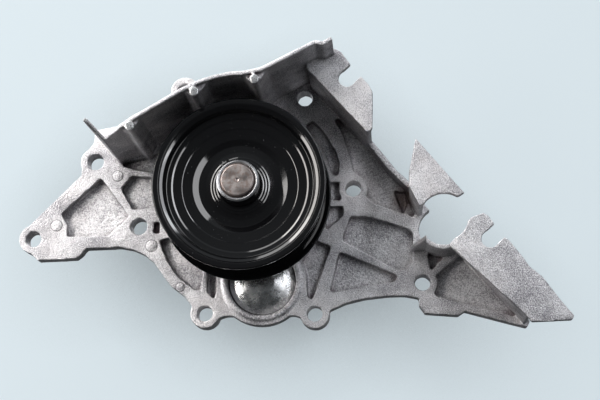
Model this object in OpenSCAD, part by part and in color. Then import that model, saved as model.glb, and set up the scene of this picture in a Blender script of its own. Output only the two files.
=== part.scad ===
// Belt-driven engine coolant pump with a die-cast cover housing.
// Frame: origin on the shaft axis in the engine mounting face. +Y points into the engine,
// the pulley faces -Y, +X is to the right and +Z is up. Millimetres.

/* [Shaft and bearing] */
// Diameter of the integral bearing shaft
shaft_d = 15.92; // [15.92]
// Length of shaft in front of the mounting face
shaft_front = 54; // [52:0.5:56]
// Length of shaft behind the mounting face
shaft_rear = 33; // [33:0.5:36]
// Outer diameter of the bearing
bearing_d = 30; // [30]
// Bearing ball diameter
ball_d = 6; // [6]
// Number of balls in each row
ball_count = 8; // [6:1:8]

/* [Pulley] */
// Diameter of the front rim
rim_d = 80; // [78:0.5:80]
// Diameter of the belt track
track_d = 75; // [74:0.5:76]
// Diameter of the rear flange
flange_d = 82; // [80:0.5:82]
// Distance from the mounting face to the front rim
rim_front = 48; // [47:0.5:49]
// Sheet thickness of the pressing
sheet = 2; // [1.8:0.1:2.2]

/* [Impeller] */
// Outer diameter of the impeller
impeller_d = 60; // [50:1:62]
// Number of vanes
vane_count = 7; // [5:1:8]

/* [Housing] */
// Depth of the rims and bosses in front of the mounting face
rim_depth = 10; // [10]
// Depth of the pocket floors in front of the mounting face
floor_depth = 6; // [5:0.5:7]
// Gap between the mounting face and the back of the plate
back_gap = 3; // [2:0.5:3.5]
// Height of the tall upper wall in front of the mounting face
tall_wall = 62; // [58:1:64]
// Height of the outward flanges in front of the mounting face
terrace = 41; // [38:1:42]
// Thickness of the outward flanges
terrace_t = 3; // [2.5:0.5:4]
// Thickness of the tall wall
wall_t = 2; // [2:0.2:3]
// Diameter of the bolt holes
bolt_d = 7.5; // [7:0.1:7.6]
// Diameter of the two wing holes nearest the pulley
wing_bolt_d = 8; // [7.5:0.1:8.2]
// Diameter of the core plug
plug_d = 32.8; // [32:0.2:33]

/* [Hidden] */
$fn = 64;

shaft_r = shaft_d / 2;
hub_r = 9.7;
bearing_front = -36.5;
bearing_back = -15;
ball_pitch_r = 10.15;
race_r = ball_d / 2 + 0.08;
front_row = -31;
rear_row = -20.5;
seal_seat = -7;
wall_foot = -4;
spigot_back = 4;
face_y = 8;
face_gap = 0.02;

// Hole centres [x, z] seen from the pulley side
bolt_holes = [
  [-103.7, -18], [51.2, 4.8], [28, 50.3], [-19.7, -54.8],
  [32.6, -55.3], [83.7, -41], [-31, 55.3]
];
wing_holes = [[-74.4, 20], [-52.2, -12.3]];
plug_at = [7.3, -39.5];
bite_at = [93.3, -15.5];
bite_r = 10.9;

// Foot line of the wall on the right, from the top corner down
right_wall = [[31.8, 57], [59.8, 25.8], [64.8, 19.4], [70.2, 12.2], [78.6, 4]];
// Foot line of the tall wall, from its left end to the upper corner
tall_path = [
  [-61.8, 20.4], [-52.8, 23.6], [-45.6, 28.3], [-25.3, 40.3], [-16.6, 44.3], [-10.5, 46.2],
  [-2.9, 47.7], [3.4, 48], [11.2, 49.5], [35.5, 61.8], [39.5, 61.2], [43.3, 63.6]
];
tall_pads = [[-48.3, 23.9], [-19.2, 39.6], [8.2, 44.9]];
// Outlines of the webs between the pads and the wall
pad_webs = [
  [[-53.2, 23.2], [-49.9, 22.6], [-46.9, 22.9], [-43, 29.6]],
  [[-25, 40.2], [-20.9, 38.5], [-17.6, 38.5], [-12.8, 45.3]],
  [[2.2, 47.7], [6.7, 43.6], [9.9, 43.8], [14.8, 51]]
];

// A flat piece standing between the planes y = front and y = back
module slab(front, back) {
  translate([0, back, 0]) rotate([90, 0, 0]) linear_extrude(back - front) children();
}

// A turned piece: the profile is drawn as [radius, y]
module turned() {
  rotate([-90, 0, 0]) rotate_extrude($fn = 96) children();
}

module ring(r_out, r_in, front, back) {
  slab(front, back) difference() {
    circle(r = r_out, $fn = 96);
    circle(r = r_in, $fn = 96);
  }
}

function unit(v) = v / norm(v);

function reversed(list) = [for (i = [len(list) - 1 : -1 : 0]) list[i]];

// Points at distance d beside a path, mitred at its corners
function beside(path, d) = [
  for (i = [0 : len(path) - 1])
    let (
      last = len(path) - 1,
      u = unit(i == 0 ? path[1] - path[0] : path[i] - path[i - 1]),
      v = unit(i == last ? path[last] - path[last - 1] : path[i + 1] - path[i]),
      n = unit([-u[1] - v[1], u[0] + v[0]])
    )
    path[i] + n * d / (n * [-u[1], u[0]])
];

// A wall of even thickness along a path
module wall_strip(path, t, front, back) {
  slab(front, back) polygon(concat(beside(path, t / 2), reversed(beside(path, -t / 2))));
}

// An upright sheet from p to q, from the plane y = back to a sloping front edge
module sheet_run(p, q, back, front_p, front_q, t) {
  run = q - p;
  translate([p[0], 0, p[1]])
    rotate([0, -atan2(run[1], run[0]), 0])
      translate([0, 0, -t / 2])
        linear_extrude(t)
          polygon([[0, back], [norm(run), back], [norm(run), front_q], [0, front_p]]);
}

module post(p, r, front, back) {
  slab(front, back) translate(p) circle(r = r, $fn = 32);
}

module rounded(r) {
  offset(r = r, $fn = 24) offset(delta = -r) children();
}

// ---- housing -------------------------------------------------------------

module plate_outline() {
  difference() {
    union() {
      polygon([
        [-108.3, -13.6], [-81.2, 13.4], [-81, 23], [-75.5, 29.5], [-75, 36], [-64, 38], [-57, 43.5],
        [-38, 51.5], [-24, 53], [-14, 51.5], [2, 54], [12, 56.5], [34, 66], [37.5, 62], [36, 55.2],
        [61.4, 27.6], [66.8, 20.8], [72.3, 13.6], [80.4, 6.2], [81.8, 4.8], [85.8, -4.2], [104.6, -23],
        [133.4, -59.6], [131.9, -62.6], [121.7, -59.9], [103, -54.8], [100, -56.9], [84.5, -55.7],
        [81.8, -51.8], [81.8, -48.4], [74.4, -47], [66.3, -47.3], [56, -48.5], [47.3, -50.6],
        [38.5, -54.5], [32, -59.5], [27, -57.4], [23, -56], [-9, -56], [-13.5, -57.4], [-19, -59.5], [-26, -51], [-29.5, -46.7], [-36, -41.7],
        [-39.6, -37], [-44.7, -30], [-49.6, -26], [-55, -23.6], [-61.3, -22.4], [-78, -23],
        [-79.5, -25.2], [-82.5, -27.8], [-101, -28.5], [-106, -24]
      ]);
      translate(bolt_holes[0]) circle(r = 6.4);
      translate(wing_holes[0]) circle(r = 7.4);
      for (i = [3, 4, 6]) translate(bolt_holes[i]) circle(r = 7);
      translate(plug_at) circle(r = 21.4);
    }
    translate(bite_at) circle(r = bite_r);
  }
}

// Sunk floors between the ribs on the front of the plate
module pockets() {
  // left wing
  rounded(1.2) polygon([[-71.5, 12], [-90.5, -5.5], [-87.5, -11], [-87.5, -17], [-67.5, -17], [-57, -7.5]]);
  rounded(1.2) polygon([[-61.5, 6.5], [-56.5, 12.8], [-41.5, 11.5], [-42, -2], [-50, -3.6], [-55.5, -4]]);
  rounded(0.8) polygon([[-61.8, 19], [-59.8, 17.2], [-41, 13.5], [-36, 18], [-43, 24.5], [-52, 21.5]]);
  rounded(0.6) polygon([[-45.7, -10.6], [-42.2, -10], [-42, -15.8], [-45, -15.8]]);
  // lower left sector beside the plug
  rounded(1.2) polygon([
    [-42, -19], [-40.8, -23.5], [-38, -29.6], [-34.2, -35.6], [-29.6, -39.8], [-24.5, -43.4],
    [-21.4, -43.4], [-20.5, -30], [-32, -17]
  ]);
  rounded(0.8) polygon([[-18.8, -31], [-18.8, -44.5], [-15.2, -48.3], [-13.4, -40], [-12, -33]]);
  // crescent and square windows beside the pulley
  rounded(1.2) polygon([
    [28, 37], [32, 38.8], [36, 34.8], [40, 28.8], [43, 23.2], [44.6, 18], [44.2, 11.8], [41, 12], [38, 22]
  ]);
  rounded(0.6) polygon([[38, 8.2], [45.2, 8.2], [45.2, -0.6], [38, -0.6]]);
  rounded(0.6) polygon([[38, -3.6], [46.3, -3.6], [46.2, -8], [38, -15.8]]);
  // fan of pockets right of the plug
  rounded(1.2) polygon([
    [49.8, -8.8], [57.2, -8.9], [66.2, -11.2], [77, -15], [79.5, -17.4], [79, -31], [76.6, -34.4],
    [71.5, -34.9], [46.4, -20.8], [46, -18.5]
  ]);
  rounded(1.2) polygon([[44.4, -25.6], [72.2, -37.6], [70.5, -40.4], [52, -43.5], [39.6, -45.4]]);
  rounded(1) polygon([[26.4, -30], [28.6, -37], [29.2, -47.4], [31.4, -48.8], [40.4, -23], [33, -20]]);
  rounded(0.8) polygon([[85.8, -25.6], [96, -26.6], [87.6, -35.6]]);
  rounded(1) polygon([[90.2, -37.6], [103, -26.8], [128.4, -58.2], [89.2, -47]]);
  // long pocket inside the right wall
  rounded(1) polygon([
    [34.6, 49.6], [41, 42], [46.4, 32], [50, 20.5], [51.4, 13.6], [56.4, 8.6], [57.4, 1.2],
    [60.2, -2.2], [71, -6.2], [77, -8], [81, -10.5], [76.2, 4.6], [69, 11.8], [63.5, 19], [58, 26]
  ]);
}

module lower_walls() {
  // the walls end inside the flange that lies on them
  under_flange = -terrace + 1;
  wall_strip([right_wall[0], right_wall[1]], 2.6, under_flange, wall_foot);
  wall_strip([for (i = [1 : 4]) right_wall[i]], 2.6, -16, wall_foot);
  wall_strip([[79.2, 5], [79.2, -0.5], [83.2, -8.6]], 2.6, under_flange, wall_foot);
  wall_strip([[101.5, -24.2], [131.3, -59.9]], 2.8, under_flange, wall_foot);
  // curled lip that leads to the round bite
  sheet_run([78.4, -24.8], [85.2, -24.6], wall_foot, -14, -terrace, 2.2);
}

// Flanges that stand outward at the top of the lower walls
module terraces() {
  slab(-terrace, -terrace + terrace_t) difference() {
    union() {
      // upper flange
      polygon([
        [30.2, 56.4], [35.1, 63.3], [39.2, 62.7], [42.6, 65], [44.5, 65.2], [47, 63.6], [50.8, 58.2],
        [53.2, 54], [56.4, 51.2], [59.4, 48], [61.4, 44], [61.4, 37], [61.1, 26.4], [58.8, 24.5]
      ]);
      // middle flange
      polygon([
        [80.9, 21.6], [102.6, -4.6], [99, -6.8], [92, -7], [84.6, -9.8], [82, -10.2], [77.5, -1], [77.6, 5.4]
      ]);
      // lower flange
      polygon([
        [95, -28.6], [100, -22.9], [102.4, -19], [105.4, -16], [111, -13.9], [113.2, -15.4],
        [116.8, -20.4], [120.2, -25.3], [122.2, -26.7], [128.4, -34.8], [130.8, -38.6],
        [136.5, -43.4], [144.4, -54.3], [150, -61.2], [148.8, -63.2], [131, -63.9], [129.2, -61.2]
      ]);
    }
    translate(bite_at) circle(r = bite_r);
    screw_notch([49.6, 50.8]);
    screw_notch([113.8, -26]);
  }
}

module screw_notch(at) {
  translate(at) {
    circle(r = 4, $fn = 48);
    rotate(42) translate([0, -3.7]) square([12, 7.4]);
  }
}

// Wall that follows the lower side of the round bite
module bite_lip() {
  intersection() {
    slab(-30, wall_foot) translate(bite_at) difference() {
      circle(r = bite_r + 2.2);
      circle(r = bite_r);
    }
    slab(-31, wall_foot + 1) translate([85, -30]) square([16.6, 9]);
  }
}

module tall_wall_sheet() {
  difference() {
    wall_strip(tall_path, wall_t, -tall_wall + 0.3, wall_foot);
    // the first bay slopes down to a notch beside the end blade
    translate([tall_path[0][0], 0, tall_path[0][1]])
      rotate([0, -20, 0])
        translate([0, 0, -4])
          linear_extrude(8)
            polygon([[-3, -70], [11.6, -70], [11.6, -64.1], [-3, -48.9]]);
    // beyond the corner it stands on the upper flange only
    slab(-terrace + 1.5, 0) translate([36.6, 55]) square([12, 12]);
  }
  for (p = tall_pads) post(p, 2.2, -tall_wall, wall_foot);
  // webs that blend each pad into the wall
  for (w = pad_webs) slab(-tall_wall + 2.5, wall_foot) polygon(w);
  end_blade();
}

// Pointed blade at the left end of the tall wall
module end_blade() {
  translate([tall_path[0][0], 0, tall_path[0][1]])
    rotate([0, -136, 0])
      translate([0, 0, -wall_t / 2])
        linear_extrude(wall_t)
          polygon([[-1, wall_foot], [1.6, wall_foot], [10.4, -tall_wall], [9, -tall_wall], [-1, -52]]);
}

module rear_rail() {
  slab(-back_gap, 0) difference() {
    union() {
      circle(r = 42);
      translate(plug_at) circle(r = 20);
    }
    circle(r = 37);
    translate(plug_at) circle(r = 14.8);
  }
}

module gasket_line(inset) {
  union() {
    circle(r = 42 - inset);
    translate(plug_at) circle(r = 20 - inset);
  }
}

module housing() {
  color("#c3c1bf") difference() {
    union() {
      slab(-rim_depth, -back_gap) difference() {
        plate_outline();
        pockets();
      }
      slab(-floor_depth, -back_gap) plate_outline();
      for (p = bolt_holes) post(p, 7, -rim_depth, 0);
      for (p = wing_holes) post(p, 7.4, -rim_depth, 0);
      post(plug_at, 21.4, -rim_depth, -back_gap);
      post(plug_at, 19, -rim_depth - 0.9, -back_gap);
      post([0, 0], 19.5, bearing_front, -back_gap);
      post([0, 0], 24, -back_gap, spigot_back);
      ring(34, 31, -back_gap, 3);
      rear_rail();
      lower_walls();
      terraces();
      bite_lip();
      tall_wall_sheet();
    }
    for (p = bolt_holes) bore_through(p, bolt_d / 2);
    for (p = wing_holes) bore_through(p, wing_bolt_d / 2);
    ring(bearing_d / 2, 0, bearing_front - 1, bearing_back);
    ring(12.5, 0, bearing_back - 1, seal_seat + 1);
    ring(18.2, 0, seal_seat, spigot_back + 1);
    // weep hole on the underside of the bearing tower
    translate([0, -12.6, -9]) rotate([180, 0, 0]) cylinder(r = 2, h = 14, $fn = 32);
    slab(-rim_depth - 2, -3.5) translate(plug_at) circle(r = plug_d / 2);
    // deep corner of the long pocket, below the middle flange
    slab(-floor_depth - 1, -4.2) polygon([[70.6, 4.2], [76.4, 3.6], [77.2, -2.2], [74.9, -7.6]]);
    slab(-4, 4) translate(plug_at) circle(r = 14.8);
    slab(-1.5, 1) difference() {
      gasket_line(1.8);
      gasket_line(3.2);
    }
  }
}

module bore_through(p, r) {
  slab(-rim_depth - 1, 1) translate(p) circle(r = r, $fn = 48);
}

module core_plug() {
  r = plug_d / 2;
  color("#d4d2cc") translate([plug_at[0], 0, plug_at[1]]) turned()
    polygon([
      [0, -10], [6, -9.7], [11, -8.5], [14, -7.1], [15.6, -6.3], [r, -6.2], [r, -4], [r - 1.2, -4],
      [r - 1.2, -5.3], [13.4, -5.9], [10.6, -7.1], [6, -8.2], [0, -8.6]
    ]);
}

module flange_gasket() {
  color("#2d2b2a") slab(-1.5, 0) difference() {
    gasket_line(1.8);
    gasket_line(3.2);
    translate(plug_at) circle(r = 14.8);
  }
}

// ---- bearing ---------------------------------------------------------------

module bearing_outer_ring() {
  color("#9a9ca0") turned() difference() {
    translate([12.3, bearing_front]) square([bearing_d / 2 - 12.3, bearing_back - bearing_front]);
    for (y = [front_row, rear_row]) translate([ball_pitch_r, y]) circle(r = race_r, $fn = 64);
    // steps that hold the two lip seals
    translate([12, bearing_front - 1]) square([1.1, 2.6]);
    translate([12, bearing_back - 1.6]) square([1.1, 2.6]);
  }
}

module lip_seal(front) {
  color("#2a2a2c") turned() translate([0, front])
    polygon([[shaft_r + 0.05, 0.5], [shaft_r + 0.5, 0], [13.1, 0], [13.1, 1.6], [9.4, 1.6], [8.6, 1.2], [shaft_r + 0.05, 1]]);
}

module front_bearing_seal() { lip_seal(bearing_front); }

module rear_bearing_seal() { lip_seal(bearing_back - 1.6); }

module cage(y) {
  color("#b59a5a") difference() {
    ring(11.6, 8.8, y - 3.9, y + 3.9);
    for (i = [0 : ball_count - 1])
      rotate([0, i * 360 / ball_count, 0]) translate([7, y, 0]) rotate([0, 90, 0]) cylinder(r = ball_d / 2 + 0.2, h = 7, $fn = 48);
  }
}

module balls(y) {
  color("#d8dadc") for (i = [0 : ball_count - 1])
    rotate([0, i * 360 / ball_count, 0]) translate([ball_pitch_r, y, 0]) sphere(r = ball_d / 2, $fn = 48);
}

module front_cage() { cage(front_row); }

module front_balls() { balls(front_row); }

module rear_cage() { cage(rear_row); }

module rear_balls() { balls(rear_row); }

// ---- rotor -------------------------------------------------------------------

module pump_shaft() {
  color("#8d7d74") turned() difference() {
    polygon([
      [0, -shaft_front], [shaft_r - 1.2, -shaft_front], [shaft_r, -shaft_front + 1.2],
      [shaft_r, shaft_rear - 1], [shaft_r - 1, shaft_rear], [0, shaft_rear]
    ]);
    for (y = [front_row, rear_row]) translate([ball_pitch_r, y]) circle(r = race_r, $fn = 64);
  }
}

module pulley_hub() {
  color("#b9bbbe") turned()
    polygon([
      [shaft_r, -shaft_front + 1.4], [hub_r - 0.7, -shaft_front + 1], [hub_r, -shaft_front + 1.7],
      [hub_r, -37], [shaft_r, -37]
    ]);
}

module pulley() {
  rim_r = rim_d / 2;
  track_r = track_d / 2;
  f = -rim_front;
  color("#151517") turned()
    polygon([
      [hub_r, f + 6.4], [11.2, f + 6.4], [11.6, f + 7.2], [13.6, f + 7.4], [14.2, f + 8], [20, f + 8],
      [21.6, f + 7.4], [30.4, f + 4.4], [32.2, f + 4.2], [32.6, f + 3.2], [34.6, f + 2.8],
      [35.6, f + 0.6], [36.4, f], [rim_r - 0.5, f], [rim_r, f + 0.5], [rim_r, f + sheet],
      [track_r + 0.3, f + sheet + 0.6], [track_r, f + sheet + 1], [track_r, -20],
      [track_r - sheet, -20], [track_r - sheet, f + sheet + 3], [32.4, f + 6.4], [21.8, f + 9.4],
      [20, f + 10], [hub_r, f + 10]
    ]);
}

module pulley_rear_flange() {
  r = flange_d / 2;
  color("#151517") turned()
    polygon([
      [track_d / 2 - sheet, -18], [track_d / 2 - sheet, -20], [track_d / 2 + 1, -20], [r - 0.4, -21],
      [r, -20.6], [r, -19.4], [track_d / 2 + 1.4, -18]
    ]);
}

// ---- mechanical seal -----------------------------------------------------------

module seal_case() {
  color("#c9b57a") turned()
    polygon([
      [9.2, -6.6], [18.2, -6.6], [18.2, spigot_back], [20.4, spigot_back], [20.4, spigot_back + 0.8],
      [17.4, spigot_back + 0.8], [17.4, -5.8], [9.2, -5.8]
    ]);
}

spring_wire = 1.1;
spring_turns = 3.5;
spring_steps = 24;

// Points of one cross-section of the spring wire, at step k along the helix
function wire_ring(k) = [
  for (j = [0 : 7])
    let (a = k * 360 / spring_steps, w = j * 45, r = 15.4 + spring_wire * cos(w))
      [r * cos(a), -4.4 + k * 7.4 / (spring_turns * spring_steps) + spring_wire * sin(w), r * sin(a)]
];

module seal_spring() {
  n = spring_turns * spring_steps;
  color("#c4c6c8") polyhedron(
    points = [for (k = [0 : n]) each wire_ring(k)],
    faces = concat(
      [[for (j = [0 : 7]) 7 - j]],
      [for (k = [0 : n - 1], j = [0 : 7]) [8 * k + j, 8 * k + (j + 1) % 8, 8 * k + 8 + (j + 1) % 8, 8 * k + 8 + j]],
      [[for (j = [0 : 7]) 8 * n + j]]
    )
  );
}

module seal_bellows() {
  color("#26262a") turned()
    polygon([
      [9.4, -5.8], [13.4, -5.8], [13.4, -4.4], [11.4, -3.6], [11.4, -1.6], [13, 0], [13, 1.4],
      [11.6, 2.4], [11.6, 3.4], [13.2, 4], [13.2, 5], [9.4, 5], [9.4, 3.2], [11, 1], [11, 0.4], [9.4, -1.6]
    ]);
}

module carbon_ring() {
  color("#38383c") ring(12.6, 9.4, 5, face_y);
}

module mating_ring() {
  color("#e4e0d6") ring(14, 9, face_y + face_gap, 12);
}

module mating_ring_cup() {
  color("#29292c") turned()
    polygon([[shaft_r, 8.6], [9, 8.6], [9, 12], [14, 12], [14, 13.2], [shaft_r, 13.2]]);
}

module water_slinger() {
  color("#303034") turned()
    polygon([[shaft_r, -11.6], [9.2, -11.6], [11.6, -12.2], [11.6, -11.2], [9.2, -9], [shaft_r, -9]]);
}

// ---- impeller --------------------------------------------------------------------

module impeller_hub() {
  color("#b08d4f") ring(11, shaft_r, 13.2, 31);
}

module impeller() {
  r = impeller_d / 2;
  color("#8f9296") difference() {
    union() {
      ring(r, 11, 15, 17.4);
      ring(13.5, 11, 15, 30);
      // backward-curved vanes, each an arc cut from a ring
      for (i = [0 : vane_count - 1]) rotate([0, i * 360 / vane_count, 0])
        slab(17, 28.5) intersection() {
          difference() {
            circle(r = r);
            circle(r = 12.5);
          }
          translate([13, -15]) difference() {
            circle(r = 20);
            circle(r = 18);
          }
          translate([0, -2]) square([40, 40]);
        }
    }
    ring(11, 0, 14, 31);
  }
}

housing();
core_plug();
flange_gasket();
bearing_outer_ring();
front_bearing_seal();
rear_bearing_seal();
front_cage();
front_balls();
rear_cage();
rear_balls();
pump_shaft();
pulley_hub();
pulley();
pulley_rear_flange();
seal_case();
seal_spring();
seal_bellows();
carbon_ring();
mating_ring();
mating_ring_cup();
water_slinger();
impeller_hub();
impeller();
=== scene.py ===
import math
import bpy
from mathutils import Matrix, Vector


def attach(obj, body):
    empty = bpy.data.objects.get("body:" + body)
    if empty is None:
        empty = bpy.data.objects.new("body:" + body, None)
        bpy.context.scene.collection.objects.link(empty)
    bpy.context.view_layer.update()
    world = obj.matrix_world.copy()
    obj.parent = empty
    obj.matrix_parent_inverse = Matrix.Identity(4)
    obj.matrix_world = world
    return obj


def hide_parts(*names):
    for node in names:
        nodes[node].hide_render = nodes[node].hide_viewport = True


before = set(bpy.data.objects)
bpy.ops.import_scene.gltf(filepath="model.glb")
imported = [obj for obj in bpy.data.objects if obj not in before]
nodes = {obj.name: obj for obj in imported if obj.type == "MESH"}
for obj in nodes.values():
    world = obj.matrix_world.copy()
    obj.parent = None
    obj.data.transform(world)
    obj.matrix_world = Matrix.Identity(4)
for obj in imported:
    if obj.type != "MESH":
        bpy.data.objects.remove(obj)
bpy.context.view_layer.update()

# Belt-driven coolant pump with a die-cast cover housing.
# The frame is in metres: the shaft runs along Y, the pulley faces -Y and Z is up.

mm = 0.001
weldReach = {"copied": 0.00001, "drawn": 0.000002, "spun": 0.000005}


def deselectAll():
    if bpy.context.object and bpy.context.object.mode != "OBJECT":
        bpy.ops.object.mode_set(mode="OBJECT")
    bpy.ops.object.select_all(action="DESELECT")


def makeActive(piece):
    deselectAll()
    piece.select_set(True)
    bpy.context.view_layer.objects.active = piece


def applyModifier(piece, kind, settings):
    makeActive(piece)
    modifier = piece.modifiers.new(kind.title(), kind)
    for key, value in settings.items():
        setattr(modifier, key, value)
    bpy.ops.object.modifier_apply(modifier=modifier.name)


def settle(piece):
    makeActive(piece)
    bpy.ops.object.transform_apply(location=True, rotation=True, scale=True)


def smoothByAngle(piece, degrees):
    makeActive(piece)
    bpy.ops.object.shade_smooth_by_angle(angle=math.radians(degrees))


def giveMaterial(piece, material):
    piece.data.materials.clear()
    piece.data.materials.append(material)


def joinPieces(name, pieces):
    makeActive(pieces[0])
    for piece in pieces:
        piece.select_set(True)
    bpy.ops.object.join()
    joined = bpy.context.object
    joined.name = name
    joined.data.name = name
    return joined


def copyOfNode(nodeName, name):
    source = nodes[nodeName]
    piece = source.copy()
    piece.data = source.data.copy()
    piece.name = name
    piece.data.name = name
    for key in [k for k in piece.keys() if k.startswith("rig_")]:
        del piece[key]
    piece.parent = None
    bpy.context.scene.collection.objects.link(piece)
    makeActive(piece)
    bpy.ops.object.mode_set(mode="EDIT")
    bpy.ops.mesh.select_all(action="SELECT")
    bpy.ops.mesh.remove_doubles(threshold=weldReach["copied"])
    bpy.ops.object.mode_set(mode="OBJECT")
    return piece


def cornerArc(before, corner, after, radius, steps):
    # points of a fillet between two straight lines of a profile; a fillet takes up to half of each line
    a = Vector(before) - Vector(corner)
    b = Vector(after) - Vector(corner)
    angle = a.angle(b)
    nearlyStraight = math.radians(176)
    if radius <= 0 or angle > nearlyStraight:
        return [corner]
    reach = min(radius / math.tan(angle / 2), a.length * 0.48, b.length * 0.48)
    trueRadius = reach * math.tan(angle / 2)
    bisector = (a.normalized() + b.normalized()).normalized()
    centre = Vector(corner) + bisector * trueRadius / math.sin(angle / 2)
    start = Vector(corner) + a.normalized() * reach - centre
    end = Vector(corner) + b.normalized() * reach - centre
    sweep = start.angle(end)
    arc = []
    for i in range(steps + 1):
        t = i / steps
        arm = (start * math.sin((1 - t) * sweep) + end * math.sin(t * sweep)) / math.sin(sweep)
        arc.append(tuple(centre + arm))
    return arc


def roundedProfile(profile, closed, steps=4):
    # each corner is (radius from the axis, y) or (radius, y, fillet), in mm
    plainFillet = 0.25
    count = len(profile)
    points = []
    for i, corner in enumerate(profile):
        fillet = corner[2] if len(corner) > 2 else plainFillet
        if not closed and i in (0, count - 1):
            points.append(corner[:2])
            continue
        before = profile[i - 1][:2]
        after = profile[(i + 1) % count][:2]
        points += cornerArc(before, corner[:2], after, fillet, steps)
    return points


def turnedPiece(name, profile, closed=True, steps=128, filletSteps=4):
    # the profile is drawn as a chain of edges in the XY plane and spun round the Y axis
    points = roundedProfile(profile, closed, filletSteps)
    deselectAll()
    bpy.ops.mesh.primitive_plane_add(size=0.001, location=(points[0][0] * mm, points[0][1] * mm, 0))
    piece = bpy.context.object
    piece.name = name
    piece.data.name = name
    settle(piece)
    bpy.ops.object.mode_set(mode="EDIT")
    bpy.ops.mesh.select_all(action="SELECT")
    bpy.ops.mesh.merge(type="CENTER")
    chain = points[1:] + ([points[0]] if closed else [])
    here = points[0]
    for there in chain:
        step = ((there[0] - here[0]) * mm, (there[1] - here[1]) * mm, 0)
        bpy.ops.mesh.extrude_vertices_move(TRANSFORM_OT_translate={"value": step})
        here = there
    bpy.ops.mesh.select_all(action="SELECT")
    bpy.ops.mesh.remove_doubles(threshold=weldReach["drawn"])
    bpy.ops.mesh.spin(steps=steps, angle=2 * math.pi, center=(0, 0, 0), axis=(0, 1, 0))
    bpy.ops.mesh.select_all(action="SELECT")
    bpy.ops.mesh.remove_doubles(threshold=weldReach["spun"])
    bpy.ops.mesh.normals_make_consistent(inside=False)
    bpy.ops.object.mode_set(mode="OBJECT")
    smoothByAngle(piece, 32)
    return piece


def moveMesh(piece, offset):
    makeActive(piece)
    bpy.ops.object.mode_set(mode="EDIT")
    bpy.ops.mesh.select_all(action="SELECT")
    bpy.ops.transform.translate(value=offset)
    bpy.ops.object.mode_set(mode="OBJECT")


def startMaterial(name, colour, metallic, roughness):
    material = bpy.data.materials.new(name)
    material.use_nodes = True
    tree = material.node_tree
    shader = tree.nodes["Principled BSDF"]
    shader.inputs["Base Color"].default_value = (*colour, 1)
    shader.inputs["Metallic"].default_value = metallic
    shader.inputs["Roughness"].default_value = roughness
    coords = tree.nodes.new("ShaderNodeTexCoord")
    return material, tree, shader, coords.outputs["Object"]


def addNoise(tree, place, scale, detail=3, roughness=0.5):
    noise = tree.nodes.new("ShaderNodeTexNoise")
    noise.inputs["Scale"].default_value = scale
    noise.inputs["Detail"].default_value = detail
    noise.inputs["Roughness"].default_value = roughness
    tree.links.new(place, noise.inputs["Vector"])
    return noise.outputs["Fac"]


def addRamp(tree, source, stops):
    ramp = tree.nodes.new("ShaderNodeValToRGB")
    elements = ramp.color_ramp.elements
    while len(elements) < len(stops):
        elements.new(0.5)
    for element, (position, colour) in zip(elements, stops):
        element.position = position
        element.color = (*colour, 1)
    tree.links.new(source, ramp.inputs["Fac"])
    return ramp.outputs["Color"]


def addMix(tree, share, first, second):
    mix = tree.nodes.new("ShaderNodeMix")
    mix.data_type = "RGBA"
    for socket, value in ((0, share), (6, first), (7, second)):
        if hasattr(value, "links"):
            tree.links.new(value, mix.inputs[socket])
        elif socket == 0:
            mix.inputs[0].default_value = value
        else:
            mix.inputs[socket].default_value = (*value, 1)
    return mix.outputs[2]


def addMath(tree, operation, first, second=0.0, clamp=False):
    node = tree.nodes.new("ShaderNodeMath")
    node.operation = operation
    node.use_clamp = clamp
    for index, value in enumerate((first, second)):
        if hasattr(value, "links"):
            tree.links.new(value, node.inputs[index])
        else:
            node.inputs[index].default_value = value
    return node.outputs[0]


def addRange(tree, source, low, high, outLow=0.0, outHigh=1.0, smooth=True):
    node = tree.nodes.new("ShaderNodeMapRange")
    node.interpolation_type = "SMOOTHSTEP" if smooth else "LINEAR"
    tree.links.new(source, node.inputs["Value"])
    node.inputs["From Min"].default_value = low
    node.inputs["From Max"].default_value = high
    node.inputs["To Min"].default_value = outLow
    node.inputs["To Max"].default_value = outHigh
    return node.outputs["Result"]


def addBump(tree, shader, height, strength, distance):
    bump = tree.nodes.new("ShaderNodeBump")
    bump.inputs["Strength"].default_value = strength
    bump.inputs["Distance"].default_value = distance
    tree.links.new(height, bump.inputs["Height"])
    tree.links.new(bump.outputs["Normal"], shader.inputs["Normal"])


def addSplit(tree, place):
    split = tree.nodes.new("ShaderNodeSeparateXYZ")
    tree.links.new(place, split.inputs[0])
    return split.outputs


def addRadius(tree, place, x=0.0, z=0.0):
    # distance from a line parallel to the shaft
    axes = addSplit(tree, place)
    across = addMath(tree, "POWER", addMath(tree, "SUBTRACT", axes["X"], x), 2)
    upward = addMath(tree, "POWER", addMath(tree, "SUBTRACT", axes["Z"], z), 2)
    return addMath(tree, "SQRT", addMath(tree, "ADD", across, upward))


def addCloseness(tree, reach, inside=False):
    # 0 in a tight inner corner (or, from inside, at a thin outer edge) and 1 in the open
    node = tree.nodes.new("ShaderNodeAmbientOcclusion")
    node.inputs["Distance"].default_value = reach
    node.samples = 6
    node.inside = inside
    node.only_local = True
    return node.outputs["AO"]


ejectorPins = [  # x, z, radius in mm
    (-92.5, -11.4, 2.7), (-63.3, 12.8, 2.6), (-45.9, -21.9, 2.8), (-31.7, -42.1, 2.1),
]

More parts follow.
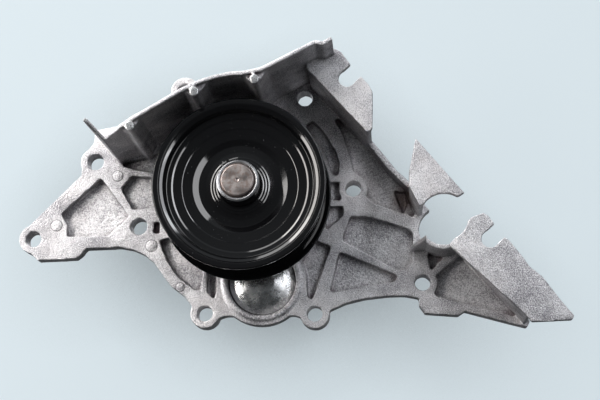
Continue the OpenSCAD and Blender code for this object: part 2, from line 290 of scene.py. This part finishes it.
castLook = {
    "grainScale": 1900,
    "mottleScale": 60,
    "blushScale": 28,
    "dark": (0.24, 0.23, 0.25),
    "middle": (0.60, 0.59, 0.605),
    "light": (0.86, 0.85, 0.86),
    "blush": (0.64, 0.58, 0.57),
    "stain": (0.15, 0.09, 0.07),
    "stainAt": (0.0752, 0.0),  # x, z
    "stainRadius": 0.008,
    "stainDepth": (-0.03, -0.012),  # y where it starts and where it is full
    # painted shade in the inner corners: how far it reaches and its colour
    "cornerShadeReach": 0.0035,
    "cornerPaintedShade": (0.10, 0.07, 0.075),
    # painted highlight along the thin outer edges: how far it reaches and its colour
    "edgeHighlightReach": 0.0012,
    "edgePaintedHighlight": (0.88, 0.87, 0.88),
    "pinLine": (0.12, 0.115, 0.12),
    "plateFace": (-0.0094, -0.0098),
    "padFace": (-0.0617, -0.0619),
    "sealFace": (-0.0004, -0.0001),
    "cut": (0.80, 0.80, 0.81),
}


def blastedAluminium():
    material, tree, shader, place = startMaterial("blasted_aluminium", castLook["light"], 1.0, 0.5)
    pins = [(x * mm, z * mm, radius * mm) for x, z, radius in ejectorPins]
    grain = addNoise(tree, place, castLook["grainScale"], 2, 0.7)
    coarse = addNoise(tree, place, castLook["grainScale"] / 3.5, 3, 0.6)
    mottle = addNoise(tree, place, castLook["mottleScale"], 5, 0.65)
    fine = addMath(tree, "MULTIPLY", grain, 0.6)
    tone = addMath(tree, "ADD", fine, addMath(tree, "MULTIPLY", mottle, 0.4))
    colour = addRamp(tree, tone, [
        (0.4, castLook["dark"]), (0.5, castLook["middle"]), (0.58, castLook["light"]),
    ])
    blush = addRange(tree, addNoise(tree, place, castLook["blushScale"], 3, 0.6), 0.45, 0.75, 0.0, 0.3)
    colour = addMix(tree, blush, colour, castLook["blush"])
    # brown burnt-in release agent in the deep corner beside the round bite
    stainAway = addRadius(tree, place, *castLook["stainAt"])
    stainEdge = addMath(tree, "ADD", stainAway, addMath(tree, "MULTIPLY", mottle, 0.006))
    stainRadius = castLook["stainRadius"]
    stain = addRange(tree, stainEdge, stainRadius * 0.6, stainRadius * 1.6, 0.7, 0.0)
    axes = addSplit(tree, place)
    stain = addMath(tree, "MULTIPLY", stain, addRange(tree, axes["Y"], *castLook["stainDepth"]))
    colour = addMix(tree, stain, colour, castLook["stain"])
    # painted shade in the inner corners, with a mottle in its strength
    corner = addRange(tree, addCloseness(tree, castLook["cornerShadeReach"]), 0.42, 0.88, 0.9, 0.0)
    corner = addMath(tree, "MULTIPLY", corner, addRange(tree, mottle, 0.3, 0.6, 0.7, 1.0))
    colour = addMix(tree, corner, colour, castLook["cornerPaintedShade"])
    # painted highlight along the thin outer edges, kept off the edges of the ejector pins
    edgeHighlight = addRange(tree, addCloseness(tree, castLook["edgeHighlightReach"], True), 0.35, 0.7, 0.55, 0.0)
    for x, z, radius in pins:
        outside = addRange(tree, addRadius(tree, place, x, z), radius, radius + 0.0003)
        edgeHighlight = addMath(tree, "MULTIPLY", edgeHighlight, outside)
    colour = addMix(tree, edgeHighlight, colour, castLook["edgePaintedHighlight"])
    # fine dark lines round the ejector pins
    for x, z, radius in pins:
        past = addMath(tree, "SUBTRACT", addRadius(tree, place, x, z), radius + 0.0001)
        line = addRange(tree, addMath(tree, "ABSOLUTE", past), 0.00012, 0.00034, 0.7, 0.0)
        ring = addMath(tree, "MULTIPLY", line, addRange(tree, axes["Y"], *castLook["plateFace"]))
        colour = addMix(tree, ring, colour, castLook["pinLine"])
    # cut faces: the wall pads in front and the sealing faces behind
    cutFront = addRange(tree, axes["Y"], *castLook["padFace"])
    cutBack = addRange(tree, axes["Y"], *castLook["sealFace"])
    cut = addMath(tree, "MAXIMUM", cutFront, cutBack)
    colour = addMix(tree, cut, colour, castLook["cut"])
    tree.links.new(colour, shader.inputs["Base Color"])
    rough = addMath(tree, "ADD", addMath(tree, "MULTIPLY", grain, 0.35), 0.33)
    rough = addMath(tree, "SUBTRACT", rough, addMath(tree, "MULTIPLY", cut, 0.2), True)
    tree.links.new(rough, shader.inputs["Roughness"])
    height = addMath(tree, "ADD", grain, addMath(tree, "MULTIPLY", coarse, 1.2))
    height = addMath(tree, "MULTIPLY", height, addMath(tree, "SUBTRACT", 1.0, cut))
    addBump(tree, shader, height, 0.75, 0.0003)
    return material


paintLook = {
    "colour": (0.003, 0.003, 0.0034),
    "roughness": 0.13,
    "specular": 0.44,
    "coat": 0.15,
    "coatRoughness": 0.03,
    "dust": (0.16, 0.16, 0.17),
    "dustScale": 900,
    "flowScale": 140,
}


def blackPaint():
    look = paintLook
    material, tree, shader, place = startMaterial("gloss_black_paint", look["colour"], 0.0, look["roughness"])
    shader.inputs["Coat Weight"].default_value = look["coat"]
    shader.inputs["Coat Roughness"].default_value = look["coatRoughness"]
    shader.inputs["Specular IOR Level"].default_value = look["specular"]
    dust = addNoise(tree, place, look["dustScale"], 2, 0.7)
    specks = addRange(tree, dust, 0.7, 0.8, 0.0, 0.5)
    tree.links.new(addMix(tree, specks, look["colour"], look["dust"]), shader.inputs["Base Color"])
    flow = addNoise(tree, place, look["flowScale"], 3, 0.55)
    tree.links.new(addRange(tree, flow, 0.3, 0.75, 0.05, 0.11), shader.inputs["Roughness"])
    addBump(tree, shader, flow, 0.04, 0.0001)
    return material


shaftEndLook = {"rim": (0.16, 0.115, 0.10), "rimFrom": 0.0068, "rimTo": 0.0079, "freckleScale": 520}


def turnedMetal(name, dark, light, roughness, ringScale, ringStrength, tint=None):
    # lathe-cut metal: fine rings round the shaft axis and a light mottle
    material, tree, shader, place = startMaterial(name, light, 1.0, roughness)
    away = addRadius(tree, place)
    axes = addSplit(tree, place)
    mottle = addNoise(tree, place, 220, 5, 0.65)
    rings = tree.nodes.new("ShaderNodeTexNoise")
    rings.noise_dimensions = "2D"
    rings.inputs["Scale"].default_value = ringScale
    rings.inputs["Detail"].default_value = 2
    pair = tree.nodes.new("ShaderNodeCombineXYZ")
    tree.links.new(away, pair.inputs["X"])
    tree.links.new(axes["Y"], pair.inputs["Y"])
    tree.links.new(pair.outputs[0], rings.inputs["Vector"])
    colour = addRamp(tree, mottle, [(0.32, dark), (0.68, light)])
    if tint:
        freckles = addNoise(tree, place, shaftEndLook["freckleScale"], 4, 0.7)
        colour = addMix(tree, addRange(tree, freckles, 0.42, 0.66, 0.0, 0.8), colour, tint)
        rim = addRange(tree, away, shaftEndLook["rimFrom"], shaftEndLook["rimTo"], 0.0, 0.85)
        colour = addMix(tree, rim, colour, shaftEndLook["rim"])
    tree.links.new(colour, shader.inputs["Base Color"])
    rough = addRange(tree, mottle, 0.3, 0.7, roughness - 0.07, roughness + 0.09)
    tree.links.new(rough, shader.inputs["Roughness"])
    addBump(tree, shader, rings.outputs["Fac"], ringStrength, 0.0001)
    return material


collarLook = {
    "dark": (0.42, 0.42, 0.43),
    "light": (0.58, 0.58, 0.59),
    "plain": (0.66, 0.66, 0.67),
    "scuffScale": 420,
    "paintFrom": -0.0522,
}


def facedCollar():
    # machined ring in front, black paint down the side
    material, tree, shader, place = startMaterial("faced_collar", collarLook["plain"], 1.0, 0.34)
    axes = addSplit(tree, place)
    painted = addRange(tree, axes["Y"], collarLook["paintFrom"], collarLook["paintFrom"] + 0.0002)
    scuffs = addNoise(tree, place, collarLook["scuffScale"], 4, 0.65)
    steel = addRamp(tree, scuffs, [(0.32, collarLook["dark"]), (0.66, collarLook["light"])])
    tree.links.new(addMix(tree, painted, steel, paintLook["colour"]), shader.inputs["Base Color"])
    tree.links.new(addMath(tree, "SUBTRACT", 1.0, painted), shader.inputs["Metallic"])
    rough = addRange(tree, scuffs, 0.3, 0.7, 0.3, 0.44)
    rough = addMath(tree, "SUBTRACT", rough, addMath(tree, "MULTIPLY", painted, 0.18))
    tree.links.new(rough, shader.inputs["Roughness"])
    addBump(tree, shader, addNoise(tree, place, 1500, 2, 0.6), 0.15, 0.00008)
    return material


zincLook = {
    "plain": (0.86, 0.85, 0.83),
    "stained": (0.50, 0.50, 0.50),
    "middle": (0.84, 0.84, 0.84),
    "bright": (0.95, 0.94, 0.93),
    "stainScale": 130,
    "spangle": (0.52, 0.54, 0.56),
    "spangleScale": 1100,
    "at": (0.0073, -0.0395),  # x, z of the plug
    "seatFrom": 0.0153,
    # painted shade in the seat round the plug's edge
    "seatPaintedShade": (0.05, 0.045, 0.045),
}


def dishedZinc():
    # bright zinc plate with a fine spangle, water stains and painted shade in the seat round its edge
    look = zincLook
    material, tree, shader, place = startMaterial("dished_zinc", look["plain"], 1.0, 0.3)
    stains = addNoise(tree, place, look["stainScale"], 6, 0.7)
    colour = addRamp(tree, stains, [(0.34, look["stained"]), (0.48, look["middle"]), (0.7, look["bright"])])
    spangle = addNoise(tree, place, look["spangleScale"], 3, 0.7)
    colour = addMix(tree, addRange(tree, spangle, 0.44, 0.6, 0.0, 0.45), colour, look["spangle"])
    # painted shade in the seat round the plug's edge, which is also made rougher
    away = addRadius(tree, place, *look["at"])
    seatShade = addRange(tree, away, look["seatFrom"], look["seatFrom"] + 0.0005, 0.0, 0.92)
    colour = addMix(tree, seatShade, colour, look["seatPaintedShade"])
    tree.links.new(colour, shader.inputs["Base Color"])
    rough = addMath(tree, "MULTIPLY", stains, 0.35)
    rough = addMath(tree, "ADD", rough, addMath(tree, "MULTIPLY", spangle, 0.2))
    rough = addMath(tree, "ADD", rough, addMath(tree, "MULTIPLY", seatShade, 0.25), True)
    tree.links.new(rough, shader.inputs["Roughness"])
    addBump(tree, shader, spangle, 0.5, 0.00015)
    return material


def mouldedRubber(name, colour):
    material, tree, shader, place = startMaterial(name, colour, 0.0, 0.62)
    bloom = addNoise(tree, place, 160, 4, 0.6)
    greyed = tuple(c * 1.9 + 0.015 for c in colour)
    tree.links.new(addRamp(tree, bloom, [(0.35, colour), (0.75, greyed)]), shader.inputs["Base Color"])
    tree.links.new(addRange(tree, bloom, 0.3, 0.7, 0.5, 0.72), shader.inputs["Roughness"])
    addBump(tree, shader, addNoise(tree, place, 2200, 2, 0.5), 0.25, 0.00008)
    return material


def pressedFace(name, colour, metallic, roughness):
    # sintered or pressed ring with a fine even grain
    material, tree, shader, place = startMaterial(name, colour, metallic, roughness)
    grain = addNoise(tree, place, 1800, 3, 0.6)
    darker = tuple(c * 0.78 for c in colour)
    tree.links.new(addRamp(tree, grain, [(0.35, darker), (0.65, colour)]), shader.inputs["Base Color"])
    rough = addRange(tree, grain, 0.3, 0.7, roughness - 0.06, roughness + 0.08)
    tree.links.new(rough, shader.inputs["Roughness"])
    addBump(tree, shader, grain, 0.2, 0.00006)
    return material


materials = {
    "cast": blastedAluminium(),
    "paint": blackPaint(),
    "zinc": dishedZinc(),
    "hubSteel": facedCollar(),
    "shaftSteel": turnedMetal(
        "ground_shaft_steel", (0.27, 0.24, 0.23), (0.49, 0.45, 0.435), 0.45, 2200, 0.3, (0.28, 0.21, 0.185)),
    "bearingSteel": turnedMetal(
        "ground_bearing_steel", (0.52, 0.52, 0.54), (0.68, 0.68, 0.70), 0.2, 3000, 0.15),
    "ballSteel": turnedMetal("polished_ball_steel", (0.74, 0.74, 0.76), (0.82, 0.82, 0.84), 0.12, 400, 0.02),
    "cageBrass": turnedMetal("drawn_cage_brass", (0.55, 0.40, 0.17), (0.72, 0.55, 0.27), 0.3, 1500, 0.15),
    "sealBrass": turnedMetal("drawn_seal_brass", (0.60, 0.47, 0.24), (0.78, 0.64, 0.38), 0.26, 1500, 0.15),
    "hubBrass": turnedMetal("turned_hub_brass", (0.52, 0.36, 0.16), (0.70, 0.52, 0.26), 0.3, 2400, 0.3),
    "impellerSteel": turnedMetal(
        "pressed_impeller_steel", (0.40, 0.41, 0.43), (0.58, 0.59, 0.61), 0.36, 500, 0.1),
    "springSteel": turnedMetal("drawn_spring_steel", (0.60, 0.61, 0.62), (0.74, 0.75, 0.76), 0.22, 900, 0.1),
    "sealRubber": mouldedRubber("moulded_seal_rubber", (0.018, 0.018, 0.02)),
    "gasketRubber": mouldedRubber("moulded_gasket_rubber", (0.022, 0.02, 0.019)),
    "carbon": pressedFace("pressed_carbon", (0.045, 0.045, 0.05), 0.2, 0.4),
    "ceramic": pressedFace("fired_ceramic", (0.80, 0.77, 0.70), 0.0, 0.3),
}
print("materials made")


housingShape = {
    "voxel": 0.0005,
    "smoothing": 3,
    "decimate": 0.23,
    "plateFront": -10,
    "pinHeight": 0.14,
    "pinDepth": 2,
    "pinEdge": 0.1,
}


def pinMark(x, z, radius):
    # low disc left by an ejector pin on the front of the plate
    shape = housingShape
    deselectAll()
    front = (shape["plateFront"] - shape["pinHeight"]) * mm
    depth = shape["pinDepth"] * mm
    bpy.ops.mesh.primitive_cylinder_add(
        vertices=40, radius=radius * mm, depth=depth, location=(x * mm, front + depth / 2, z * mm),
        rotation=(math.pi / 2, 0, 0))
    disc = bpy.context.object
    settle(disc)
    applyModifier(disc, "BEVEL", {"width": shape["pinEdge"] * mm, "segments": 2, "limit_method": "ANGLE"})
    return disc


def makeHousing():
    shape = housingShape
    casting = copyOfNode("housing", "housing_casting")
    applyModifier(casting, "REMESH", {"mode": "VOXEL", "voxel_size": shape["voxel"]})
    applyModifier(casting, "SMOOTH", {"factor": 0.5, "iterations": shape["smoothing"]})
    applyModifier(casting, "DECIMATE", {"ratio": shape["decimate"]})
    smoothByAngle(casting, 50)
    marks = [pinMark(*pin) for pin in ejectorPins]
    casting = joinPieces("housing_casting", [casting] + marks)
    giveMaterial(casting, materials["cast"])
    smoothByAngle(casting, 50)
    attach(casting, "base")
    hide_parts("housing")
    print("housing triangles:", sum(len(p.vertices) - 2 for p in casting.data.polygons))


plugShape = {
    "at": (7.3, -39.5),  # x, z
    "profile": [  # radius, y, fillet
        (0, -9.95), (6, -9.6, 6), (11, -8.4, 5), (14, -7.0, 2), (15.6, -6.2, 0.8), (16.4, -6.1, 0.3),
        (16.4, -4, 0.2), (15.2, -4, 0.2), (15.2, -5.4, 0.4), (13.4, -6.0, 0.4), (10.6, -7.2, 1),
        (6, -8.3, 2), (0, -8.7),
    ],
    "dentSize": 0.008,
    "dentDepth": 0.0006,
}


def makePlug():
    plug = turnedPiece("core_plug_dish", plugShape["profile"], closed=False, steps=96)
    makeActive(plug)
    bpy.ops.object.mode_set(mode="EDIT")
    bpy.ops.mesh.select_all(action="SELECT")
    bpy.ops.mesh.subdivide(number_cuts=1)
    bpy.ops.object.mode_set(mode="OBJECT")
    moveMesh(plug, (plugShape["at"][0] * mm, 0, plugShape["at"][1] * mm))
    dents = bpy.data.textures.new("plug_dents", "CLOUDS")
    dents.noise_scale = plugShape["dentSize"]
    dents.noise_depth = 1
    applyModifier(plug, "DISPLACE", {
        "texture": dents, "texture_coords": "LOCAL", "direction": "Y",
        "strength": plugShape["dentDepth"], "mid_level": 0.5})
    smoothByAngle(plug, 40)
    giveMaterial(plug, materials["zinc"])
    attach(plug, "base")
    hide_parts("core_plug")


pulleyShape = {
    "front": -48,
    "profile": [  # radius, depth behind the front rim, fillet
        (9.75, 6.4, 0.1), (10.6, 6.4, 0.1), (11.1, 6.6, 0.1), (11.9, 6.7, 0.1), (12.4, 6.9, 0.1),
        (13.2, 7.0, 0.1), (13.7, 7.2, 0.1), (16.0, 7.6, 2.0), (19.2, 7.8, 1.2), (22.0, 6.8, 0.9),
        (26.7, 6.2, 0.3), (27.0, 6.05, 0.1), (31.0, 5.5, 0.1), (31.7, 5.17, 0.1), (34.2, 4.7, 0.8),
        (34.8, 2.0, 0.5), (35.2, 1.3, 0.2), (36.5, 0.7, 0.2), (37.2, 0.0, 0.4), (39.6, 0.0, 0.5),
        (40.0, 0.5, 0.4), (40.0, 1.9, 0.4), (37.8, 2.6, 0.4), (37.5, 3.0, 0.4), (37.5, 28.0, 0.2),
        (35.5, 28.0, 0.2), (35.5, 5.6, 0.6), (32.4, 6.8, 0.6), (22.4, 8.6, 1.0), (20.0, 10.0, 0.8),
        (9.75, 10.0, 0.1),
    ],
    "rearProfile": [  # radius, y, fillet
        (35.5, -18, 0.2), (35.5, -20, 0.2), (38.5, -20, 0.6), (40.6, -21, 0.3), (41.0, -20.6, 0.2),
        (41.0, -19.4, 0.3), (38.9, -18, 0.5),
    ],
}


def makePulley():
    front = pulleyShape["front"]
    profile = [(r, front + depth, fillet) for r, depth, fillet in pulleyShape["profile"]]
    pressing = turnedPiece("pulley_pressing", profile, steps=144, filletSteps=5)
    giveMaterial(pressing, materials["paint"])
    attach(pressing, "rotor")
    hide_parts("pulley")
    flange = turnedPiece("pulley_flange_ring", pulleyShape["rearProfile"], steps=144)
    giveMaterial(flange, materials["paint"])
    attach(flange, "rotor")
    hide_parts("pulley_rear_flange")


hubShape = {
    "profile": [  # radius, y, fillet
        (7.96, -52.6, 0.1), (8.9, -52.95, 0.3), (9.7, -52.3, 0.5), (9.7, -37, 0.1), (7.96, -37, 0.1),
    ],
}
shaftShape = {
    "profile": [  # radius, y, fillet
        (0, -53.6), (0.5, -53.75, 0.2), (0.9, -53.95, 0.2), (7.0, -53.95, 0.5), (7.7, -53.5, 0.5),
        (7.96, -52.0, 0.3), (7.96, -33.1, 0.1), (7.3, -31.9, 0.6), (7.08, -31.0, 0.8), (7.3, -30.1, 0.6),
        (7.96, -28.9, 0.1), (7.96, -22.6, 0.1), (7.3, -21.4, 0.6), (7.08, -20.5, 0.8), (7.3, -19.6, 0.6),
        (7.96, -18.4, 0.1),
        (7.96, 32, 0.4), (6.96, 33, 0.4), (1.2, 33, 0.2), (0.6, 32.4, 0.2), (0, 32.0),
    ],
}


def makeHubAndShaft():
    collar = turnedPiece("hub_collar", hubShape["profile"], steps=96, filletSteps=5)
    giveMaterial(collar, materials["hubSteel"])
    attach(collar, "rotor")
    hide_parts("pulley_hub")
    shaft = turnedPiece("bearing_shaft", shaftShape["profile"], closed=False, steps=96, filletSteps=5)
    giveMaterial(shaft, materials["shaftSteel"])
    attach(shaft, "rotor")
    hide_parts("pump_shaft")


impellerShape = {"edge": 0.35, "flatUnder": 1, "sharpOver": 50}


def makeImpeller():
    wheel = copyOfNode("impeller", "impeller_wheel")
    makeActive(wheel)
    bpy.ops.object.mode_set(mode="EDIT")
    bpy.ops.mesh.select_all(action="SELECT")
    bpy.ops.mesh.dissolve_limited(angle_limit=math.radians(impellerShape["flatUnder"]))
    bpy.ops.object.mode_set(mode="OBJECT")
    applyModifier(wheel, "BEVEL", {
        "width": impellerShape["edge"] * mm, "segments": 3, "limit_method": "ANGLE",
        "angle_limit": math.radians(impellerShape["sharpOver"])})
    smoothByAngle(wheel, 35)
    giveMaterial(wheel, materials["impellerSteel"])
    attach(wheel, "rotor")
    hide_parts("impeller")


makeHousing()
print("housing made")
makePlug()
makePulley()
print("pulley made")
makeHubAndShaft()
makeImpeller()
print("rotor made")

# the bearing, seal and gasket keep their exact solids and get finished materials
keptNodes = {
    "flange_gasket": "gasketRubber",
    "bearing_outer_ring": "bearingSteel",
    "front_bearing_seal": "sealRubber",
    "rear_bearing_seal": "sealRubber",
    "front_cage": "cageBrass",
    "rear_cage": "cageBrass",
    "front_balls": "ballSteel",
    "rear_balls": "ballSteel",
    "seal_case": "sealBrass",
    "seal_spring": "springSteel",
    "seal_bellows": "sealRubber",
    "carbon_ring": "carbon",
    "mating_ring": "ceramic",
    "mating_ring_cup": "sealRubber",
    "water_slinger": "sealRubber",
    "impeller_hub": "hubBrass",
}
for nodeName, finish in keptNodes.items():
    node = nodes[nodeName]
    for materialSlot in node.material_slots:
        materialSlot.material = materials[finish]
    if not node.material_slots:
        node.data.materials.append(materials[finish])


stageShape = {
    "behind": 0.038,
    "size": 4.0,
    "colour": (0.105, 0.1185, 0.1255),
    "cloudScale": 2.2,
    "specular": 0.15,
    "glow": 5.5,
    "shadeReach": 0.06,
}


def makeStage():
    # the table top that the pump lies on its back on: in this frame it stands upright behind the pump
    deselectAll()
    bpy.ops.mesh.primitive_grid_add(
        x_subdivisions=8, y_subdivisions=8, size=stageShape["size"], location=(0, stageShape["behind"], 0),
        rotation=(math.pi / 2, 0, 0))
    sheet = bpy.context.object
    sheet.name = "table_top"
    settle(sheet)
    material, tree, shader, place = startMaterial("pale_table", stageShape["colour"], 0.0, 0.6)
    cloud = addNoise(tree, place, stageShape["cloudScale"], 2, 0.5)
    warm = tuple(c * 0.985 for c in stageShape["colour"])
    tree.links.new(addMix(tree, cloud, stageShape["colour"], warm), shader.inputs["Base Color"])
    shader.inputs["Specular IOR Level"].default_value = stageShape["specular"]
    # soft shade where the pump lies close to the table
    close = tree.nodes.new("ShaderNodeAmbientOcclusion")
    close.inputs["Distance"].default_value = stageShape["shadeReach"]
    close.samples = 8
    shade = addRange(tree, close.outputs["AO"], 0.4, 1.0, 0.3, 1.0, False)
    tree.links.new(addMix(tree, shade, (0, 0, 0), stageShape["colour"]), shader.inputs["Emission Color"])
    shader.inputs["Emission Strength"].default_value = stageShape["glow"]
    # from behind the table is clear, so that the back of the pump can be seen
    through = tree.nodes.new("ShaderNodeBsdfTransparent")
    side = tree.nodes.new("ShaderNodeNewGeometry")
    pick = tree.nodes.new("ShaderNodeMixShader")
    tree.links.new(side.outputs["Backfacing"], pick.inputs[0])
    tree.links.new(shader.outputs[0], pick.inputs[1])
    tree.links.new(through.outputs[0], pick.inputs[2])
    tree.links.new(pick.outputs[0], tree.nodes["Material Output"].inputs["Surface"])
    giveMaterial(sheet, material)
    sheet.visible_shadow = False
    sheet.visible_diffuse = False
    sheet.visible_glossy = False


roomShape = {"radius": 2.6, "colour": (0.60, 0.67, 0.71), "cloudScale": 0.8}


def makeRoom():
    # pale walls all round, seen by the camera only, for the views that look past the table
    deselectAll()
    bpy.ops.mesh.primitive_uv_sphere_add(
        segments=48, ring_count=24, radius=roomShape["radius"], location=(0, 0, 0))
    room = bpy.context.object
    room.name = "pale_room"
    bpy.ops.object.mode_set(mode="EDIT")
    bpy.ops.mesh.select_all(action="SELECT")
    bpy.ops.mesh.flip_normals()
    bpy.ops.object.mode_set(mode="OBJECT")
    bpy.ops.object.shade_smooth()
    material, tree, shader, place = startMaterial("room_wall", (0, 0, 0), 0.0, 1.0)
    cloud = addNoise(tree, place, roomShape["cloudScale"], 2, 0.5)
    dimmer = tuple(c * 0.93 for c in roomShape["colour"])
    tree.links.new(addMix(tree, cloud, roomShape["colour"], dimmer), shader.inputs["Emission Color"])
    shader.inputs["Emission Strength"].default_value = 1.0
    giveMaterial(room, material)
    room.visible_shadow = False
    room.visible_diffuse = False
    room.visible_glossy = False
    room.visible_transmission = False


lampTable = [  # name, place, aim, width, height, power in watts, colour
    ("overhead_box", (-0.42, -0.50, 0.62), (0, 0, 0), 0.5, 0.4, 3.1, (1.0, 0.99, 0.98)),
    ("top_box", (0.0, -0.10, 0.95), (0, 0, 0), 0.9, 0.3, 4, (1.0, 1.0, 1.0)),
    ("left_box", (-0.565, -0.525, 0.22), (-0.03, 0, 0), 0.15, 0.85, 4.9, (1.0, 0.965, 0.93)),
    ("left_strip", (-0.72, -0.05, 0.12), (0, 0, 0), 0.3, 0.8, 4, (0.99, 0.99, 1.0)),
    ("right_slat", (0.36, -0.68, 0.19), (0, 0, 0), 0.24, 0.75, 3.7, (0.97, 0.98, 1.0)),
    ("left_slat", (-0.51, -0.595, 0.15), (0, 0, 0), 0.07, 0.42, 0.8, (1.0, 0.98, 0.96)),
    ("right_strip", (0.50, -0.64, 0.26), (0, 0, 0), 0.11, 0.9, 2.1, (0.93, 0.95, 1.0)),
    ("rear_box", (-0.3, 0.9, 0.6), (0, 0, 0), 0.9, 0.9, 9, (0.97, 0.98, 1.0)),
]


def makeLamps():
    for name, spot, aim, width, height, power, colour in lampTable:
        lamp = bpy.data.lights.new(name, "AREA")
        lamp.shape = "RECTANGLE"
        lamp.size = width
        lamp.size_y = height
        lamp.energy = power
        lamp.color = colour
        holder = bpy.data.objects.new(name, lamp)
        holder.location = spot
        holder.rotation_mode = "QUATERNION"
        holder.rotation_quaternion = (Vector(aim) - Vector(spot)).to_track_quat("-Z", "Y")
        bpy.context.scene.collection.objects.link(holder)


def shieldSlats():
    # the slats are flagged off everything but the pulley, where they draw the crescents
    group = bpy.data.collections.new("slat_receivers")
    group.objects.link(bpy.data.objects["pulley_pressing"])
    for name in ("right_slat", "left_slat"):
        bpy.data.objects[name].light_linking.receiver_collection = group


worldLook = {"sky": (0.80, 0.86, 0.90), "strength": 0.5}


def makeWorld():
    # pale overhead, dim underfoot and straight behind the camera
    world = bpy.data.worlds.new("studio")
    bpy.context.scene.world = world
    world.use_nodes = True
    tree = world.node_tree
    background = tree.nodes["Background"]
    coords = tree.nodes.new("ShaderNodeTexCoord")
    axes = addSplit(tree, coords.outputs["Generated"])
    height = addRange(tree, axes["Z"], -0.5, 0.8, 0.15, 1.0)
    front = addRange(tree, axes["Y"], -1.0, -0.55, 0.5, 1.0)
    level = addMath(tree, "MULTIPLY", height, front)
    tree.links.new(addMix(tree, level, (0.0, 0.0, 0.0), worldLook["sky"]), background.inputs["Color"])
    background.inputs["Strength"].default_value = worldLook["strength"]


cameraShape = {"place": (0.0678, -0.6668, -0.1414), "aim": (0.025, 0, 0.0018), "lens": 84, "sensor": 36}


def makeCamera():
    lens = bpy.data.cameras.new("camera")
    lens.lens = cameraShape["lens"]
    lens.sensor_width = cameraShape["sensor"]
    holder = bpy.data.objects.new("camera", lens)
    holder.location = cameraShape["place"]
    look = Vector(cameraShape["aim"]) - Vector(cameraShape["place"])
    holder.rotation_mode = "QUATERNION"
    holder.rotation_quaternion = look.to_track_quat("-Z", "Y")
    bpy.context.scene.collection.objects.link(holder)
    bpy.context.scene.camera = holder


makeStage()
makeRoom()
makeLamps()
shieldSlats()
makeWorld()
makeCamera()
bpy.context.scene.view_settings.view_transform = "Standard"
print("stage, lamps and camera made")

deselectAll()
